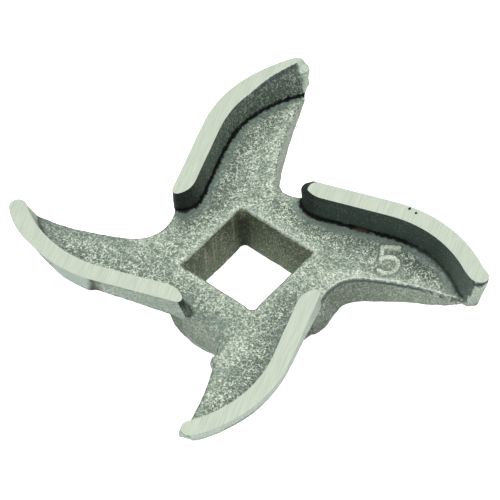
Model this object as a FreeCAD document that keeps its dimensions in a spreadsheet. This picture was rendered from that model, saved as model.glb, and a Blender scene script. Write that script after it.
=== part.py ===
"""Meat grinder knife: one casting with four curved arms around a square drive hole.

Each arm carries a raised blade along its leading side, ground flat on top. The origin is on the
axis of the hole, at the back face of the hub. +Z points to the ground faces, and X and Y run
parallel to the sides of the hole. All lengths are in millimetres and all angles in degrees.
"""
import FreeCAD, Part
import Sketcher
import math
import os

NODE = "knife"

SIZES = {
    # Heights above the back face of the hub.
    "total_height": 9.1,
    "web_top": 6.3,
    "belly_height": 2.5,
    # Drive hole.
    "hole_across": 9.2,
    "hole_corner": 0.6,
    "hole_bevel": 0.2,
    # Hub and the underside that rises from it to the tips.
    "boss_radius": 8.4,
    "boss_flare": 1.5,
    "boss_bevel": 0.3,
    "belly_radius": 22.0,
    # Arms.
    "arm_count": 4,
    "arm_turn": 43.3,
    "waist": 3.7,
    "root_radius": 3.6,
    "trailing_radius": 30.0,
    "ridge_edge": 0.3,
    "tip_round": 1.35,
    # Leading edge of the blade: a straight run from the nose, then one bend to the tip.
    "nose_aside": 6.95,
    "nose_ahead": 7.4,
    "edge_heading": 66.6,
    "straight_run": 8.5,
    "bend_radius": 14.4,
    "bend_sweep": 53.0,
    # Blade section.
    "land_width": 1.86,
    "foot_spread": 0.45,
    "foot_tuck": 1.19,
    "lip_sweep": 1.2,
    "nose_round": 0.5,
    "nose_sweep": 2.4,
    # Relief under the leading edge: its plane is tilted about a level line, and so rises to the tip.
    "wall_nose": 2.9,
    "relief_lean": 40.0,
    "relief_axis": 30.0,
    "relief_tilt": 14.0,
}

doc = FreeCAD.newDocument("meat_grinder_knife")
sheet = doc.addObject("Spreadsheet::Sheet", "Sizes")
for row, (word, number) in enumerate(SIZES.items(), start=1):
    sheet.set(f"A{row}", word)
    sheet.set(f"B{row}", str(number))
    sheet.setAlias(f"B{row}", word)
doc.recompute()


def size(word):
    """The sheet's value for one name."""
    return float(sheet.get(word))


def ahead(angle, length=1.0):
    """A vector in the XY plane at an angle in degrees."""
    turn = math.radians(angle)
    return FreeCAD.Vector(length * math.cos(turn), length * math.sin(turn), 0)


def crossing(centre_a, radius_a, centre_b, radius_b, side):
    """Where two circles cross, on the left (side 1) or right (side -1) of the way from a to b."""
    way = centre_b - centre_a
    gap = way.Length
    along = (radius_a**2 - radius_b**2 + gap**2) / (2 * gap)
    across = math.sqrt(radius_a**2 - along**2)
    unit = way / gap
    return centre_a + unit * along + FreeCAD.Vector(-unit.y, unit.x, 0) * (across * side)


def arc_between(centre, radius, first, last):
    """The arc about centre that runs anticlockwise from the side of first to that of last."""
    begin = math.atan2(first.y - centre.y, first.x - centre.x)
    end = math.atan2(last.y - centre.y, last.x - centre.x)
    circle = Part.Circle(centre, FreeCAD.Vector(0, 0, 1), radius)
    return Part.ArcOfCircle(circle, begin, end)


# The sketcher's numbers for the places on an edge, and for the sketch's own origin.
START, END, CENTRE = range(1, 4)
ORIGIN = (-1, 1)

# How far a cutting shape runs past the metal.
CLEAR = 1.0

# The leading edge of one arm, in the arm's own frame: Y runs out from the hub.
AXIS = FreeCAD.Vector(0, 0, 0)
HEADING = size("edge_heading")
INWARD = HEADING - 90
edge_start = FreeCAD.Vector(-size("nose_aside"), size("nose_ahead"), 0)
bend_start = edge_start + ahead(HEADING, size("straight_run"))
bend_centre = bend_start + ahead(INWARD, size("bend_radius"))
foot_width = size("land_width") + size("foot_spread")
nose_round, tip_round = size("nose_round"), size("tip_round")


def on_bend(sweep, inset=0.0):
    """A point on the bend of the leading edge, or inside it by an inset."""
    return bend_centre + ahead(HEADING + 90 - sweep, size("bend_radius") - inset)


# The angle from one arm to the next, for the sketches' own formulas.
ARM_STEP = "360 deg / Sizes.arm_count"

# The rest of the arm's outline. The root arc touches the next arm's nose, so that the outline is
# smooth all round.
next_arm = FreeCAD.Rotation(FreeCAD.Vector(0, 0, 1), -360 / size("arm_count"))
nose = edge_start + ahead(INWARD, nose_round)
edge_end = on_bend(size("bend_sweep") + size("lip_sweep"))
tip = on_bend(size("bend_sweep") + size("lip_sweep"), tip_round)
next_nose = next_arm.multVec(nose)
root_x = size("waist") + size("root_radius")
root_rise = math.sqrt((size("root_radius") + nose_round) ** 2 - (root_x - next_nose.x) ** 2)
root = FreeCAD.Vector(root_x, next_nose.y + root_rise, 0)
trailing = crossing(tip, size("trailing_radius") + tip_round,
                    root, size("trailing_radius") - size("root_radius"), 1)
trailing_top = tip + (trailing - tip).normalize() * tip_round
trailing_foot = root - (trailing - root).normalize() * size("root_radius")
next_corner = next_nose + (root - next_nose).normalize() * nose_round
own_corner = next_arm.inverted().multVec(next_corner)

body = doc.addObject("PartDesign::Body", "Knife")
body.Label = NODE


def origin_part(role):
    """One of the body's own origin planes or axes."""
    return next(item for item in body.Origin.OriginFeatures if item.Role == role)


def new_sketch(name, role="XY_Plane"):
    """A sketch on one of the body's own origin planes."""
    sketch = body.newObject("Sketcher::SketchObject", name)
    sketch.AttachmentSupport = [(origin_part(role), "")]
    sketch.MapMode = "FlatFace"
    return sketch


def arm_sketch(name, height):
    """A flat sketch turned with the first arm, at a height given as an expression."""
    sketch = new_sketch(name)
    sketch.AttachmentOffset = FreeCAD.Placement(
        FreeCAD.Vector(0, 0, 0), FreeCAD.Rotation(FreeCAD.Vector(0, 0, 1), size("arm_turn"))
    )
    sketch.setExpression("AttachmentOffset.Base.z", height)
    sketch.setExpression("AttachmentOffset.Rotation.Angle", "Sizes.arm_turn")
    return sketch


def tie(sketch, kind, *places, name=None, value=None, formula=None):
    """Add one constraint, and bind its value to the sheet where it has a formula."""
    numbers = list(places) if value is None else [*places, value]
    index = sketch.addConstraint(Sketcher.Constraint(kind, *numbers))
    if formula:
        sketch.renameConstraint(index, name)
        sketch.setExpression(f"Constraints.{name}", formula)


def measure(sketch, kind, *places, name):
    """Add a constraint that only measures, so that other sketches can follow it."""
    index = sketch.addConstraint(Sketcher.Constraint(kind, *places, 0))
    sketch.renameConstraint(index, name)
    sketch.setDriving(index, False)


def pin_edge_start(sketch, geometry, point):
    """Hold the nose end of the leading edge where the sheet puts it."""
    tie(sketch, "DistanceX", geometry, point, *ORIGIN, name="aside",
        value=size("nose_aside"), formula="Sizes.nose_aside")
    tie(sketch, "DistanceY", *ORIGIN, geometry, point, name="ahead",
        value=size("nose_ahead"), formula="Sizes.nose_ahead")


def hold_straight(sketch, line):
    """Give the straight run of the leading edge its heading and length."""
    tie(sketch, "Angle", line, name="heading",
        value=math.radians(HEADING), formula="Sizes.edge_heading * 1 deg")
    tie(sketch, "Distance", line, name="straight",
        value=size("straight_run"), formula="Sizes.straight_run")


def hold_bend(sketch, arc, extra_sweep=0.0, extra_formula=""):
    """Give the bend of the leading edge its radius and the angle that it turns."""
    tie(sketch, "Radius", arc, name="bend", value=size("bend_radius"), formula="Sizes.bend_radius")
    tie(sketch, "Angle", arc, name="sweep", value=math.radians(size("bend_sweep") + extra_sweep),
        formula=f"(Sizes.bend_sweep{extra_formula}) * 1 deg")


def arm_outline():
    """One quarter of the flat outline, from the axis round one arm and back to the axis."""
    sketch = arm_sketch("ArmOutline", "0")
    edges = [
        Part.LineSegment(AXIS, own_corner),
        arc_between(nose, nose_round, edge_start, own_corner),
        Part.LineSegment(edge_start, bend_start),
        arc_between(bend_centre, size("bend_radius"), edge_end, bend_start),
        arc_between(tip, tip_round, trailing_top, edge_end),
        arc_between(trailing, size("trailing_radius"), trailing_top, trailing_foot),
        arc_between(root, size("root_radius"), trailing_foot, next_corner),
        Part.LineSegment(next_corner, AXIS),
    ]
    inner, nose_arc, straight, bend, tip_arc, trail, root_arc, outer = sketch.addGeometry(edges)
    guide = sketch.addGeometry(
        arc_between(next_nose, nose_round, next_arm.multVec(edge_start), next_corner), True)
    tie(sketch, "Coincident", inner, START, *ORIGIN)
    tie(sketch, "Coincident", outer, END, *ORIGIN)
    tie(sketch, "Coincident", inner, END, nose_arc, END)
    tie(sketch, "Tangent", nose_arc, START, straight, START)
    tie(sketch, "Tangent", straight, END, bend, END)
    tie(sketch, "Tangent", bend, START, tip_arc, END)
    tie(sketch, "Tangent", tip_arc, START, trail, START)
    tie(sketch, "Tangent", trail, END, root_arc, START)
    tie(sketch, "Tangent", root_arc, END, guide, END)
    tie(sketch, "Coincident", root_arc, END, outer, START)
    tie(sketch, "Equal", inner, outer)
    pin_edge_start(sketch, straight, START)
    hold_straight(sketch, straight)
    hold_bend(sketch, bend, size("lip_sweep"), " + Sizes.lip_sweep")
    for arc, name in ((nose_arc, "own_nose"), (guide, "next_nose")):
        tie(sketch, "Radius", arc, name=name, value=nose_round, formula="Sizes.nose_round")
    tie(sketch, "Radius", tip_arc, name="tip", value=tip_round, formula="Sizes.tip_round")
    aside = "(Sizes.nose_aside - Sizes.nose_round * sin(Sizes.edge_heading * 1 deg))"
    out = "(Sizes.nose_ahead - Sizes.nose_round * cos(Sizes.edge_heading * 1 deg))"
    tie(sketch, "DistanceX", *ORIGIN, guide, CENTRE, name="next_aside", value=next_nose.x,
        formula=f"{out} * sin({ARM_STEP}) - {aside} * cos({ARM_STEP})")
    tie(sketch, "DistanceY", *ORIGIN, guide, CENTRE, name="next_ahead", value=next_nose.y,
        formula=f"{aside} * sin({ARM_STEP}) + {out} * cos({ARM_STEP})")
    tie(sketch, "Radius", trail, name="trailing",
        value=size("trailing_radius"), formula="Sizes.trailing_radius")
    tie(sketch, "Radius", root_arc, name="root",
        value=size("root_radius"), formula="Sizes.root_radius")
    tie(sketch, "DistanceX", *ORIGIN, root_arc, CENTRE, name="root_aside",
        value=root.x, formula="Sizes.waist + Sizes.root_radius")
    measure(sketch, "DistanceY", *ORIGIN, root_arc, CENTRE, name="root_ahead")
    measure(sketch, "DistanceX", *ORIGIN, trail, CENTRE, name="trail_aside")
    measure(sketch, "DistanceY", *ORIGIN, trail, CENTRE, name="trail_ahead")
    return sketch


def start_blade(name, height, width, sweep):
    """A blade sketch with the leading edge and nose that its land and its foot share."""
    sketch = arm_sketch(name, height)
    sweep_in = size("nose_sweep")
    spread = math.sqrt((sweep_in - nose_round) ** 2 - (sweep_in + nose_round - width) ** 2)
    inner_start = edge_start + ahead(INWARD, width) + ahead(HEADING, spread)
    inner_bend = bend_start + ahead(INWARD, width)
    sweep_centre = inner_start - ahead(INWARD, sweep_in)
    meeting = nose + (nose - sweep_centre).normalize() * nose_round
    edges = [
        Part.LineSegment(inner_bend, inner_start),
        arc_between(sweep_centre, sweep_in, meeting, inner_start),
        arc_between(nose, nose_round, edge_start, meeting),
        Part.LineSegment(edge_start, bend_start),
        arc_between(bend_centre, size("bend_radius"), on_bend(sweep), bend_start),
    ]
    inner_line, drawn_in, nose_arc, straight, bend = sketch.addGeometry(edges)
    tie(sketch, "Tangent", inner_line, END, drawn_in, END)
    tie(sketch, "Tangent", drawn_in, START, nose_arc, END)
    tie(sketch, "Tangent", nose_arc, START, straight, START)
    tie(sketch, "Tangent", straight, END, bend, END)
    tie(sketch, "Radius", nose_arc, name="nose_round", value=nose_round,
        formula="Sizes.nose_round")
    tie(sketch, "Radius", drawn_in, name="nose_sweep", value=sweep_in,
        formula="Sizes.nose_sweep")
    pin_edge_start(sketch, straight, START)
    hold_straight(sketch, straight)
    return sketch, inner_line, straight, bend


def land_outline():
    """The ground strip on top of the blade, with round ends."""
    width = size("land_width")
    sweep = size("bend_sweep")
    sketch, inner_line, straight, bend = start_blade("BladeLand", "Sizes.total_height", width, sweep)
    centre = on_bend(sweep, width / 2)
    split = centre + (trailing - tip).normalize() * (width / 2)
    inner_tip = on_bend(sweep, width)
    inner_bend = bend_start + ahead(INWARD, width)
    tip_arc, end_arc, inner_arc = sketch.addGeometry([
        arc_between(centre, width / 2, split, on_bend(sweep)),
        arc_between(centre, width / 2, inner_tip, split),
        arc_between(bend_centre, size("bend_radius") - width, inner_tip, inner_bend),
    ])
    tie(sketch, "Tangent", bend, START, tip_arc, END)
    tie(sketch, "Tangent", tip_arc, START, end_arc, END)
    tie(sketch, "Tangent", end_arc, START, inner_arc, START)
    tie(sketch, "Tangent", inner_arc, END, inner_line, START)
    tie(sketch, "Coincident", inner_arc, CENTRE, bend, CENTRE)
    tie(sketch, "Equal", tip_arc, end_arc)
    tie(sketch, "Parallel", inner_line, straight)
    hold_bend(sketch, bend)
    tie(sketch, "Radius", tip_arc, name="half_width", value=width / 2,
        formula="Sizes.land_width / 2")
    return sketch


def foot_outline():
    """The blade's wider foot on the web, which takes in the whole tip of the arm."""
    sweep = size("bend_sweep") + size("lip_sweep")
    sketch, inner_line, _, bend = start_blade("BladeFoot", "Sizes.web_top", foot_width, sweep)
    radius = size("bend_radius") - foot_width - size("foot_tuck")
    inner_bend = bend_start + ahead(INWARD, foot_width)
    centre = inner_bend + ahead(INWARD, radius)
    meeting = crossing(centre, radius, trailing, size("trailing_radius"), 1)
    tip_arc, end_arc, inner_arc = sketch.addGeometry([
        arc_between(tip, tip_round, trailing_top, edge_end),
        arc_between(trailing, size("trailing_radius"), trailing_top, meeting),
        arc_between(centre, radius, meeting, inner_bend),
    ])
    tie(sketch, "Tangent", bend, START, tip_arc, END)
    tie(sketch, "Tangent", tip_arc, START, end_arc, START)
    tie(sketch, "Coincident", end_arc, END, inner_arc, START)
    tie(sketch, "Tangent", inner_arc, END, inner_line, START)
    tie(sketch, "DistanceX", *ORIGIN, end_arc, CENTRE, name="trail_aside", value=trailing.x,
        formula="ArmOutline.Constraints.trail_aside")
    tie(sketch, "DistanceY", *ORIGIN, end_arc, CENTRE, name="trail_ahead", value=trailing.y,
        formula="ArmOutline.Constraints.trail_ahead")
    tie(sketch, "Radius", inner_arc, name="inner_bend", value=radius,
        formula="Sizes.bend_radius - Sizes.land_width - Sizes.foot_spread - Sizes.foot_tuck")
    hold_bend(sketch, bend, size("lip_sweep"), " + Sizes.lip_sweep")
    return sketch


def belly_profile():
    """What is cut away around the boss: a sloped shoulder, then a long rise past the tips."""
    sketch = new_sketch("BellyProfile", "XZ_Plane")
    boss, flare = size("boss_radius"), size("boss_flare")
    belly, rise = size("belly_height"), size("belly_radius")
    rise_start = FreeCAD.Vector(boss + flare, belly, 0)
    rise_centre = rise_start + FreeCAD.Vector(0, rise, 0)
    reach = tip.Length + tip_round + CLEAR
    rise_end = FreeCAD.Vector(reach, rise_centre.y - math.sqrt(rise**2 - (reach - rise_start.x)**2), 0)
    side_foot = FreeCAD.Vector(reach, -CLEAR, 0)
    boss_foot = FreeCAD.Vector(boss, -CLEAR, 0)
    boss_top = FreeCAD.Vector(boss, belly - flare, 0)
    side, floor, wall, shoulder, rise_arc = sketch.addGeometry([
        Part.LineSegment(rise_end, side_foot),
        Part.LineSegment(side_foot, boss_foot),
        Part.LineSegment(boss_foot, boss_top),
        Part.LineSegment(boss_top, rise_start),
        arc_between(rise_centre, rise, rise_start, rise_end),
    ])
    tie(sketch, "Coincident", side, END, floor, START)
    tie(sketch, "Coincident", floor, END, wall, START)
    tie(sketch, "Coincident", wall, END, shoulder, START)
    tie(sketch, "Coincident", shoulder, END, rise_arc, START)
    tie(sketch, "Coincident", rise_arc, END, side, START)
    tie(sketch, "Vertical", side)
    tie(sketch, "Horizontal", floor)
    tie(sketch, "Vertical", wall)
    tie(sketch, "Vertical", rise_arc, CENTRE, rise_arc, START)
    tie(sketch, "DistanceY", floor, START, *ORIGIN, value=CLEAR)
    tie(sketch, "DistanceX", *ORIGIN, side, START, value=reach)
    tie(sketch, "DistanceX", *ORIGIN, wall, START, name="boss",
        value=boss, formula="Sizes.boss_radius")
    tie(sketch, "DistanceX", shoulder, START, shoulder, END, name="flare_out",
        value=flare, formula="Sizes.boss_flare")
    tie(sketch, "DistanceY", shoulder, START, shoulder, END, name="flare_up",
        value=flare, formula="Sizes.boss_flare")
    tie(sketch, "Radius", rise_arc, name="rise", value=rise, formula="Sizes.belly_radius")
    tie(sketch, "DistanceY", *ORIGIN, rise_arc, START, name="belly",
        value=belly, formula="Sizes.belly_height")
    return sketch


def hole_outline():
    """The square drive hole with its rounded corners."""
    sketch = new_sketch("HoleOutline")
    half, round_off = size("hole_across") / 2, size("hole_corner")
    flat = half - round_off
    edges = []
    for turn in range(4):
        spin = FreeCAD.Rotation(FreeCAD.Vector(0, 0, 1), 90 * turn)
        side = [spin.multVec(FreeCAD.Vector(half, y, 0)) for y in (-flat, flat)]
        centre = spin.multVec(FreeCAD.Vector(flat, flat, 0))
        arc_end = spin.multVec(FreeCAD.Vector(flat, half, 0))
        edges += [Part.LineSegment(*side), arc_between(centre, round_off, side[1], arc_end)]
    places = sketch.addGeometry(edges)
    sides, corners = places[0::2], places[1::2]
    for turn in range(4):
        tie(sketch, "Tangent", sides[turn], END, corners[turn], START)
        tie(sketch, "Tangent", corners[turn], END, sides[(turn + 1) % 4], START)
    for side, direction in zip(sides, ("Vertical", "Horizontal", "Vertical", "Horizontal")):
        tie(sketch, direction, side)
    for turn in range(3):
        tie(sketch, "Equal", corners[turn], corners[turn + 1])
    tie(sketch, "Symmetric", corners[0], CENTRE, corners[2], CENTRE, *ORIGIN)
    tie(sketch, "Radius", corners[0], name="corner", value=round_off, formula="Sizes.hole_corner")
    tie(sketch, "DistanceX", *ORIGIN, sides[0], START, name="across_x",
        value=half, formula="Sizes.hole_across / 2")
    tie(sketch, "DistanceY", *ORIGIN, sides[1], START, name="across_y",
        value=half, formula="Sizes.hole_across / 2")
    return sketch


# The nose in the body's own frame, at the height where the relief starts.
RELIEF_START = (
    "create(<<vector>>; "
    "-Sizes.nose_aside * cos(Sizes.arm_turn * 1 deg) - Sizes.nose_ahead * sin(Sizes.arm_turn * 1 deg); "
    "Sizes.nose_ahead * cos(Sizes.arm_turn * 1 deg) - Sizes.nose_aside * sin(Sizes.arm_turn * 1 deg); "
    "Sizes.total_height - Sizes.wall_nose)"
)


def relief_sketch(name, yaw, yaw_formula, roll, roll_formula):
    """A sketch with its origin at the start of the relief, turned and then tilted."""
    sketch = new_sketch(name)
    turn = FreeCAD.Rotation(FreeCAD.Vector(0, 0, 1), size("arm_turn"))
    level = FreeCAD.Vector(0, 0, size("total_height") - size("wall_nose"))
    sketch.AttachmentOffset = FreeCAD.Placement(
        turn.multVec(edge_start) + level, FreeCAD.Rotation(size("arm_turn") + yaw, 0, roll)
    )
    rotation = f"create(<<rotation>>; Sizes.arm_turn + {yaw_formula}; 0; {roll_formula})"
    sketch.setExpression("AttachmentOffset", f"create(<<placement>>; {RELIEF_START}; {rotation})")
    return sketch


def relief_profile():
    """The section cut away under the leading edge, square to the blade at its nose."""
    sketch = relief_sketch("ReliefProfile", INWARD, "Sizes.edge_heading - 90", 90, "90")
    lean = math.radians(size("relief_lean"))
    level = size("total_height") - size("wall_nose")
    slope_top = FreeCAD.Vector(-foot_width, foot_width / math.tan(lean), 0)
    slope_foot = FreeCAD.Vector((level + CLEAR) * math.tan(lean), -level - CLEAR, 0)
    corner = FreeCAD.Vector(slope_top.x, slope_foot.y, 0)
    slope, floor, side = sketch.addGeometry([
        Part.LineSegment(slope_top, slope_foot),
        Part.LineSegment(slope_foot, corner),
        Part.LineSegment(corner, slope_top),
    ])
    for first, second in ((slope, floor), (floor, side), (side, slope)):
        tie(sketch, "Coincident", first, END, second, START)
    tie(sketch, "Horizontal", floor)
    tie(sketch, "Vertical", side)
    tie(sketch, "PointOnObject", *ORIGIN, slope)
    tie(sketch, "Angle", slope, name="lean",
        value=lean - math.pi / 2, formula="(Sizes.relief_lean - 90) * 1 deg")
    tie(sketch, "DistanceY", floor, START, *ORIGIN, name="below", value=level + CLEAR,
        formula=f"Sizes.total_height - Sizes.wall_nose + {CLEAR}")
    tie(sketch, "DistanceX", side, START, *ORIGIN, name="outside", value=foot_width,
        formula="Sizes.land_width + Sizes.foot_spread")
    return sketch


def nose_clearance():
    """The corner cut from below between the blade's nose and the neck of the hub."""
    sketch = arm_sketch("NoseClearance", "0")
    void = next_arm.inverted().multVec(root)
    neck = void.Length - size("root_radius")
    along = ahead(HEADING)
    offset = edge_start.dot(along)
    on_neck = along * offset - ahead(INWARD) * math.sqrt(neck**2 - offset**2)
    outside = edge_start - ahead(INWARD, CLEAR)
    neck_point = void * (neck / void.Length)
    neck_arc, to_void, across, back = sketch.addGeometry([
        arc_between(AXIS, neck, on_neck, neck_point),
        Part.LineSegment(neck_point, void),
        Part.LineSegment(void, outside),
        Part.LineSegment(outside, on_neck),
    ])
    tie(sketch, "Coincident", neck_arc, CENTRE, *ORIGIN)
    for first, second in ((neck_arc, to_void), (to_void, across), (across, back), (back, neck_arc)):
        tie(sketch, "Coincident", first, END, second, START)
    tie(sketch, "PointOnObject", *ORIGIN, to_void)
    root_aside, root_ahead = "ArmOutline.Constraints.root_aside", "ArmOutline.Constraints.root_ahead"
    tie(sketch, "DistanceX", to_void, END, *ORIGIN, name="void_aside", value=-void.x,
        formula=f"{root_ahead} * sin({ARM_STEP}) - {root_aside} * cos({ARM_STEP})")
    tie(sketch, "DistanceY", *ORIGIN, to_void, END, name="void_ahead", value=void.y,
        formula=f"{root_aside} * sin({ARM_STEP}) + {root_ahead} * cos({ARM_STEP})")
    tie(sketch, "Radius", neck_arc, name="neck", value=neck,
        formula=f"sqrt({root_aside}^2 + {root_ahead}^2) - Sizes.root_radius * 1 mm")
    tie(sketch, "DistanceX", back, START, *ORIGIN, name="outside_aside", value=-outside.x,
        formula=f"Sizes.nose_aside + {CLEAR} * sin(Sizes.edge_heading * 1 deg)")
    tie(sketch, "DistanceY", *ORIGIN, back, START, name="outside_ahead", value=outside.y,
        formula=f"Sizes.nose_ahead + {CLEAR} * cos(Sizes.edge_heading * 1 deg)")
    tie(sketch, "Angle", back, name="square_to_edge",
        value=math.radians(INWARD), formula="(Sizes.edge_heading - 90) * 1 deg")
    return sketch


def boss_outline():
    """The round boss on the back of the hub."""
    sketch = new_sketch("BossOutline")
    ring = sketch.addGeometry(Part.Circle(AXIS, FreeCAD.Vector(0, 0, 1), size("boss_radius")))
    tie(sketch, "Coincident", ring, CENTRE, *ORIGIN)
    tie(sketch, "Radius", ring, name="boss", value=size("boss_radius"), formula="Sizes.boss_radius")
    return sketch


def relief_path():
    """The leading edge in the tilted plane of the relief, carried on past the tip."""
    axis, tilt = size("relief_axis"), size("relief_tilt")
    sketch = relief_sketch("ReliefPath", axis, "Sizes.relief_axis", tilt, "Sizes.relief_tilt")
    past_tip = size("lip_sweep") + math.degrees((tip_round + CLEAR) / size("bend_radius"))
    sweep, radius = size("bend_sweep") + past_tip, size("bend_radius")
    straight_end = ahead(HEADING - axis, size("straight_run"))
    centre = straight_end + ahead(INWARD - axis, radius)
    path_end = centre + ahead(HEADING + 90 - axis - sweep, radius)
    straight, bend = sketch.addGeometry([
        Part.LineSegment(AXIS, straight_end),
        arc_between(centre, radius, path_end, straight_end),
    ])
    tie(sketch, "Coincident", straight, START, *ORIGIN)
    tie(sketch, "Tangent", straight, END, bend, END)
    tie(sketch, "Angle", straight, name="heading", value=math.radians(HEADING - axis),
        formula="(Sizes.edge_heading - Sizes.relief_axis) * 1 deg")
    tie(sketch, "Distance", straight, name="straight",
        value=size("straight_run"), formula="Sizes.straight_run")
    hold_bend(sketch, bend, past_tip, f" + {past_tip:.3f}")
    return sketch


def pad(name, sketch, height):
    """A pad whose length follows an expression."""
    feature = body.newObject("PartDesign::Pad", name)
    feature.Profile = sketch
    feature.setExpression("Length", height)
    return feature


def round_the_hub(name, *seeds):
    """Repeat one arm's features around the axis."""
    pattern = body.newObject("PartDesign::PolarPattern", name)
    pattern.Originals = list(seeds)
    pattern.Axis = (origin_part("Z_Axis"), [""])
    pattern.Angle = 360
    pattern.setExpression("Occurrences", "Sizes.arm_count")
    body.Tip = pattern
    doc.recompute()
    return pattern


def level_edges(height, within=math.inf):
    """The body's edges that lie flat at one height, and within a radius of the axis."""
    for number, edge in enumerate(body.Shape.Edges, start=1):
        heights = {round(point.z - height, 3) for point in edge.discretize(5)}
        reach = max(math.hypot(point.x, point.y) for point in edge.discretize(5))
        if heights == {0} and reach < within:
            yield f"Edge{number}"


def dress_edges(kind, name, edges, formula):
    """A fillet or a chamfer on edges of the body so far."""
    base, names = body.Tip, list(edges)
    feature = body.newObject(f"PartDesign::{kind}", name)
    feature.Base = (base, names)
    feature.setExpression("Radius" if kind == "Fillet" else "Size", formula)
    doc.recompute()
    return feature


# The flat star of arms, with its upper edge rounded.
arm = arm_outline()
web = pad("Web", arm, "Sizes.web_top")
round_the_hub("Webs", web)
dress_edges("Fillet", "RidgeRound", level_edges(size("web_top")), "Sizes.ridge_edge")

# The hollow of the underside.
belly = body.newObject("PartDesign::Groove", "Belly")
belly.Profile = belly_profile()
belly.ReferenceAxis = (origin_part("Z_Axis"), [""])
belly.Angle = 360
doc.recompute()

# The blades, each with a root that fills the rounded edge under its foot.
foot = foot_outline()
blade = body.newObject("PartDesign::AdditiveLoft", "Blade")
blade.Profile = foot
blade.Sections = [land_outline()]
blade.Ruled = True
blade_root = pad("BladeRoot", foot, "Sizes.ridge_edge + Sizes.foot_spread")
blade_root.Reversed = True
doc.recompute()
round_the_hub("Blades", blade, blade_root)

# The relief under each leading edge, and the corner under each nose.
relief = body.newObject("PartDesign::SubtractivePipe", "Relief")
relief.Profile = relief_profile()
relief.Spine = relief_path()
relief.Mode = "Binormal"
relief.Binormal = FreeCAD.Vector(0, 0, 1)
round_the_hub("Reliefs", relief)
clearance = body.newObject("PartDesign::Pocket", "NoseCorner")
clearance.Profile = nose_clearance()
clearance.Reversed = True
clearance.setExpression("Length", "Sizes.total_height - Sizes.wall_nose")
round_the_hub("NoseCorners", clearance)

# The boss, which the reliefs cut into, made whole again. Then the drive hole through it.
pad("Boss", boss_outline(), "Sizes.web_top")
doc.recompute()
hole = body.newObject("PartDesign::Pocket", "DriveHole")
hole.Profile = hole_outline()
hole.Type = "ThroughAll"
hole.Midplane = True
doc.recompute()
hole_top = level_edges(size("web_top"), within=size("boss_radius"))
dress_edges("Chamfer", "HoleBevel", hole_top, "Sizes.hole_bevel")
dress_edges("Chamfer", "BackBevel", level_edges(0), "Sizes.boss_bevel")

failed = [item.Name for item in doc.Objects if {"Invalid", "Error"} & set(item.State)]
if failed or body.Shape.isNull() or not body.Shape.isValid() or len(body.Shape.Solids) != 1:
    raise RuntimeError(f"the model did not build as one sound solid: {failed}")
os.makedirs("parts", exist_ok=True)
body.Shape.exportStep(f"parts/{NODE}.step")
across = 2 * (tip.Length + tip_round)
print(f"{NODE}: {across:.2f} mm across the tips, {body.Shape.Volume:.1f} cubic mm")
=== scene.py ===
"""Meat grinder knife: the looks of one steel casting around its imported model, in metres."""

import math

import bpy
import numpy as np
from mathutils import Matrix, Vector, kdtree, noise


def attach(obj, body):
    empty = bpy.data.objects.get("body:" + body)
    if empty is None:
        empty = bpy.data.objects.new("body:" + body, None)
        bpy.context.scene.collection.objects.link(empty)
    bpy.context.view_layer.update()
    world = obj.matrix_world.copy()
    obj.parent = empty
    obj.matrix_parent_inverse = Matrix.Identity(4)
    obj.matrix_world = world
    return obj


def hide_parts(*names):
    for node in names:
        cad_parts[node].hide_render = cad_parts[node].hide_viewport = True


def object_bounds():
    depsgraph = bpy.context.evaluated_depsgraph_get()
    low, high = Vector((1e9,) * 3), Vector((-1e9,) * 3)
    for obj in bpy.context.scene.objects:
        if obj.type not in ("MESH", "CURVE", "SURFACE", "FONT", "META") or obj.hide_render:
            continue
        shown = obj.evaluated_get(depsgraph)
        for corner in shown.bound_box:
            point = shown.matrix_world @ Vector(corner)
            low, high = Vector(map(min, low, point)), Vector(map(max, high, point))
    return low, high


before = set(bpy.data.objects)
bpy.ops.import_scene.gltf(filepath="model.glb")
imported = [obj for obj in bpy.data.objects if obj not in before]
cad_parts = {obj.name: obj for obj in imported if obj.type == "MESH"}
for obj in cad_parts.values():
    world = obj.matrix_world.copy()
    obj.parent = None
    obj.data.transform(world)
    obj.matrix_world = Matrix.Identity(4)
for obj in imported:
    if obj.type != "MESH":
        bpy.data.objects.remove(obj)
CAD_BOX = [list(corner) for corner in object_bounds()]

# Sizes in millimetres, with heights from the hub's back.
MM = 0.001
WEB_TOP = 6.3
LAND_TOP = 9.1
HOLE_HALF = 4.6
NEAR = 0.02  # a face or a middle this near a plane lies on it
WELD_GRID = 0.0005

# The arms as the photograph shows them. In an arm's own frame Y runs out from the hub.
TOP, RIGHT, BOTTOM, LEFT = range(4)
ARM_TURN = 43.3  # degrees between the top arm's own frame and the CAD's

# The leading edge of one arm, in its own frame: where it starts, its heading in degrees, its
# straight run and the bend after it, the run at which the tip starts, and the blade's middle.
NOSE = np.array([-6.95, 7.4])
HEADING = 66.6
STRAIGHT_RUN = 8.5
BEND_RADIUS = 14.4
TIP_RUN = 21.8
BLADE_MIDDLE = 1.2

# Longest edges of the dense mesh, by place, and the angle above which an edge stays sharp.
LAND_EDGE, WALL_EDGE, WEB_EDGE, FLANK_EDGE, BENEATH_EDGE = 0.9, 0.44, 0.37, 0.44, 0.7
LINE_EDGE, DETAIL_EDGE, PIT_EDGE = 0.2, 0.14, 0.07
FLANK_LOW = 5.2
SHARP_ANGLE = 42  # degrees

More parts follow.
